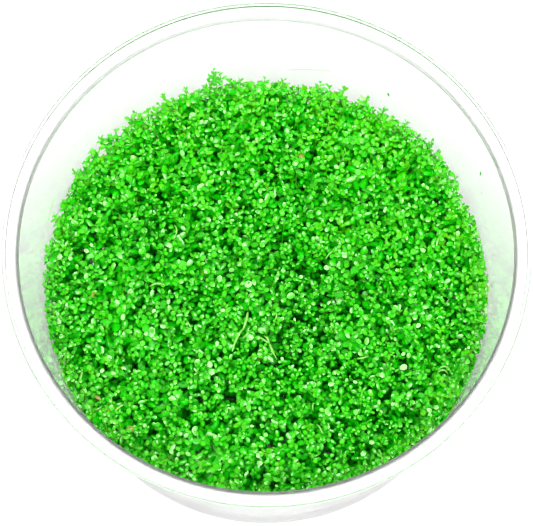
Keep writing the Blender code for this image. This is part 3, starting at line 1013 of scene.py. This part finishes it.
def make_wall_bits(rng, leaf, stem):
    """Small leaves stuck to the inner wall, and two thin trails on it."""
    places, lengths = [], []
    for angle, height, length, slant in WALL_BITS:
        place, around, rise, inward = on_wall(math.radians(angle), height * MM, 0.2 * MM)
        slant = math.radians(slant)
        places.append((place, around * math.cos(slant) + rise * math.sin(slant), inward))
        lengths.append(length * MM)
    leaves = flat_leaves(places, lengths, tone=3, age=2, rng=rng)
    leaves["width"] *= WALL_BIT_SLIMNESS
    bits = leaves_object("wall_bits", leaves, FINE_LEAF)
    paths = []
    for start, start_height, end, end_height in WALL_TRAILS:
        points = []
        for share in np.linspace(0, 1, TRAIL_POINTS):
            angle = math.radians(start + (end - start) * share + rng.normal(0, 0.12))
            height = start_height + (end_height - start_height) * share
            points.append(on_wall(angle, height * MM, 0.08 * MM)[0])
        paths.append(points)
    radii = TRAIL_RADIUS * rng.uniform(0.6, 1.4, (len(paths), TRAIL_POINTS))
    trails = tubes_object("wall_trails", np.array(paths), radii, 5, rng)
    return [dressed(bits, leaf), dressed(trails, stem)]


def make_withered_leaves(rng, material):
    """A few withered leaves on the carpet."""
    places, lengths = [], []
    for x, y in WITHERED:
        x, y = x * MM, y * MM
        angle = rng.uniform(0, math.tau)
        base = (x, y, carpet_height(x, y) + 0.5 * MM)
        places.append((base, (math.cos(angle), math.sin(angle), 0.1), (0.1, -0.2, 1.0)))
        lengths.append(rng.uniform(1.3, 2.0) * MM)
    leaves = flat_leaves(places, lengths, tone=3, age=0, rng=rng)
    return dressed(leaves_object("withered_leaves", leaves, FINE_LEAF), material)


def make_plants(rng):
    """The whole carpet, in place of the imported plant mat."""
    young_leaf = leaf_material("young_leaf", 1.0, 0.21, (0.74, 1.0, 0.60))
    leaf = leaf_material("leaf", 0.34, 0.30, (0.35, 1.0, 0.25))
    low_leaf = leaf_material("low_leaf", 0.10, 0.40, (0.35, 1.0, 0.25))
    pale_stem = pale_stem_material()
    shoots = make_shoots(rng)
    sprigs = make_sprigs(rng)
    sprig_radius = SPRIG_STEM_SHARE * STEM_RADIUS
    plants = [make_stems("stems", shoots, STEM_RADIUS, STEM_POINTS, rng, stem_material())]
    plants.append(make_stems("sprig_stems", sprigs, sprig_radius, SPRIG_STEM_POINTS, rng, pale_stem))
    plants += make_leaves(shoots, sprigs, rng, young_leaf, leaf, low_leaf)
    plants.append(make_stray_stems(rng, pale_stem))
    plants += make_wall_bits(rng, leaf, pale_stem)
    plants.append(make_withered_leaves(rng, withered_material()))
    for plant in plants:
        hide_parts("plant_mat")


def make_floor():
    """A plain pale floor."""
    mesh = bpy.data.meshes.new("floor")
    side = FLOOR_HALF_SIDE
    corners = [(-side, -side, 0), (side, -side, 0), (side, side, 0), (-side, side, 0)]
    mesh.from_pydata(corners, [], [(0, 1, 2, 3)])
    floor = link("floor", mesh)
    floor.location.z = -FLOOR_GAP
    material, tree, shader = new_material("pale_floor")
    grain = tree.nodes.new("ShaderNodeTexNoise")
    grain.inputs["Scale"].default_value = 8.0
    ramp = color_ramp(tree.nodes, ((0.3, (0.77, 0.77, 0.77)), (0.7, (0.81, 0.81, 0.81))))
    tree.links.new(grain.outputs[0], ramp.inputs[0])
    tree.links.new(ramp.outputs[0], shader.inputs["Base Color"])
    shader.inputs["Roughness"].default_value = 0.9
    shader.inputs["Specular IOR Level"].default_value = 0.1
    mesh.materials.append(material)


def make_light():
    """Soft studio light: a sky that dims from the horizon upwards, and one large softbox overhead."""
    world = bpy.data.worlds.new("studio")
    bpy.context.scene.world = world
    world.use_nodes = True
    tree = world.node_tree
    place = tree.nodes.new("ShaderNodeTexCoord")
    parts = tree.nodes.new("ShaderNodeSeparateXYZ")
    tree.links.new(place.outputs["Generated"], parts.inputs[0])
    ramp = color_ramp(tree.nodes, ((0.0, (1.0, 1.0, 1.0)), (0.4, (0.7, 0.7, 0.7)), (1.0, (0.4, 0.4, 0.4))))
    tree.links.new(parts.outputs[2], ramp.inputs[0])
    tree.links.new(ramp.outputs[0], tree.nodes["Background"].inputs["Color"])
    tree.nodes["Background"].inputs["Strength"].default_value = WORLD_STRENGTH
    light = bpy.data.lights.new("softbox", "AREA")
    light.shape = "DISK"
    light.size = SOFTBOX_SIZE
    light.energy = SOFTBOX_RADIANCE * math.pi * math.pi * (SOFTBOX_SIZE / 2) ** 2
    softbox = bpy.data.objects.new("softbox", light)
    elevation = math.radians(SOFTBOX_ELEVATION)
    azimuth = math.radians(SOFTBOX_AZIMUTH)
    flat = SOFTBOX_DISTANCE * math.cos(elevation)
    height = SOFTBOX_DISTANCE * math.sin(elevation)
    softbox.location = (flat * math.sin(azimuth), -flat * math.cos(azimuth), height)
    softbox.rotation_euler = Vector(softbox.location).to_track_quat("Z", "Y").to_euler()
    bpy.context.scene.collection.objects.link(softbox)


def make_camera():
    """The camera at the photograph's angle."""
    data = bpy.data.cameras.new("camera")
    data.lens = CAMERA_LENS
    data.sensor_width = CAMERA_SENSOR
    camera = bpy.data.objects.new("camera", data)
    back = Vector((0.0, -math.cos(CAMERA_ELEVATION), math.sin(CAMERA_ELEVATION)))
    camera.location = CAMERA_AIM + back * CAMERA_DISTANCE
    camera.rotation_mode = "QUATERNION"
    camera.rotation_quaternion = back.to_track_quat("Z", "Y")
    data.clip_start = 0.01
    bpy.context.scene.collection.objects.link(camera)
    bpy.context.scene.camera = camera


def set_render_look():
    """Plain colours, and bounces enough for light to pass through the walls and the gel."""
    scene = bpy.context.scene
    scene.view_settings.view_transform = "Standard"
    scene.cycles.max_bounces = LIGHT_BOUNCES
    scene.cycles.transmission_bounces = CLEAR_BOUNCES
    scene.cycles.glossy_bounces = CLEAR_BOUNCES


chance = np.random.default_rng(SEED)
set_render_look()
make_camera()
make_light()
make_floor()
make_cup()
make_gel()
make_roots(chance)
make_plants(chance)
